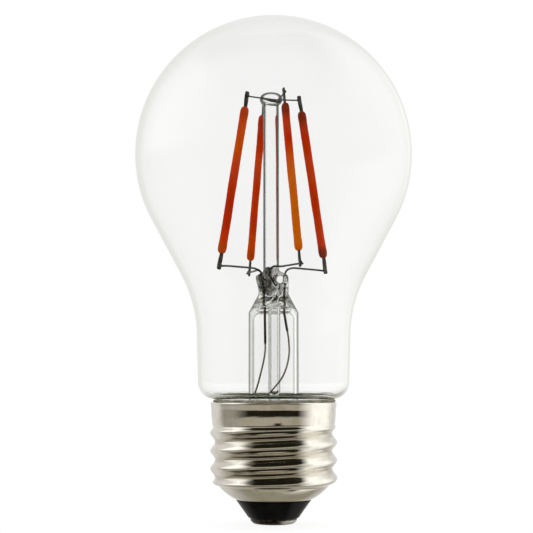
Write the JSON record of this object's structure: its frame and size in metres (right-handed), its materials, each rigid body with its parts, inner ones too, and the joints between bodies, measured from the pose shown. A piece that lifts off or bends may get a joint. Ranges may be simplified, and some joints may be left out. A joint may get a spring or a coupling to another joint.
{
  "type": "filament light bulb",
  "caption": "Clear glass LED filament lamp with a screw cap: sealed globe, glass stem, filaments leaning in towards the top, and a small radio-controlled driver inside the cap.",
  "frame": {"origin": "centre of the centre contact's flat underside, on the axis of the cap and the globe", "axes": "+Z along the axis from the centre contact up to the top of the glass globe; +X to the right and +Y away when the bulb is seen from the front"},
  "size_m": [0.058, 0.058, 0.1055],
  "materials": {
    "envelope_glass": "clear, polished",
    "stem_glass": "clear, fire-polished",
    "nickel_wire": "drawn nickel wire",
    "sealing_wire": "oxidised copper-clad sealing wire",
    "copper_wire": "drawn wire, tinned copper",
    "led_substrate": "matt ceramic",
    "led_chip": "polished chips",
    "phosphor_silicone": "translucent red-orange silicone",
    "filament_tab": "stamped, dull",
    "cap_nickel": "nickel-plated, satin",
    "cap_black": "black, glossy",
    "contact_metal": "stamped, dull",
    "cement": "matt cement",
    "sleeve_film": "polyester film",
    "circuit_board": "green solder mask",
    "black_package": "moulded epoxy",
    "capacitor_can": "shrink-sleeved can",
    "ferrite": "sintered ferrite",
    "winding_copper": "enamelled copper",
    "resistor_body": "blue resistor coating",
    "chip_resistor": "black glaze",
    "chip_capacitor": "tan ceramic",
    "tinned_metal": "tinned",
    "solder": "bright solder"
  },
  "bodies": {
    "root": {"antenna_trace": "winding_copper", "basing_cement": "cement", "bridge_rectifier": "black_package", "bulk_capacitor": "capacitor_can", "cap_insulator": "cap_black", "cap_shell": "cap_nickel", "centre_contact": "contact_metal", "component_legs": "tinned_metal", "contact_lead": "tinned_metal", "contact_solder": "solder", "driver_board": "circuit_board", "driver_ic": "black_package", "exhaust_tube": "stem_glass", "filament_1_chips": "led_chip", "filament_1_coating": "phosphor_silicone", "filament_1_end_tabs": "filament_tab", "filament_1_substrate": "led_substrate", "filament_2_chips": "led_chip", "filament_2_coating": "phosphor_silicone", "filament_2_end_tabs": "filament_tab", "filament_2_substrate": "led_substrate", "filament_3_chips": "led_chip", "filament_3_coating": "phosphor_silicone", "filament_3_end_tabs": "filament_tab", "filament_3_substrate": "led_substrate", "filament_4_chips": "led_chip", "filament_4_coating": "phosphor_silicone", "filament_4_end_tabs": "filament_tab", "filament_4_substrate": "led_substrate", "flare_tube": "stem_glass", "fusible_resistor": "resistor_body", "glass_envelope": "envelope_glass", "inductor_core": "ferrite", "inductor_winding": "winding_copper", "insulating_sleeve": "sleeve_film", "lead_tail_left": "copper_wire", "lead_tail_right": "copper_wire", "lower_electrode_1": "nickel_wire", "lower_electrode_2": "nickel_wire", "lower_electrode_3": "nickel_wire", "lower_electrode_4": "nickel_wire", "package_legs": "tinned_metal", "radio_board": "circuit_board", "radio_shield": "tinned_metal", "seal_wire_left": "sealing_wire", "seal_wire_right": "sealing_wire", "shell_lead": "tinned_metal", "smd_capacitors": "chip_capacitor", "smd_resistors": "chip_resistor", "solder_joints": "solder", "stem_press": "stem_glass", "stem_rod": "stem_glass", "top_button": "stem_glass", "upper_bridge_wire_1": "nickel_wire", "upper_bridge_wire_2": "nickel_wire"}
  },
  "joints": []
}
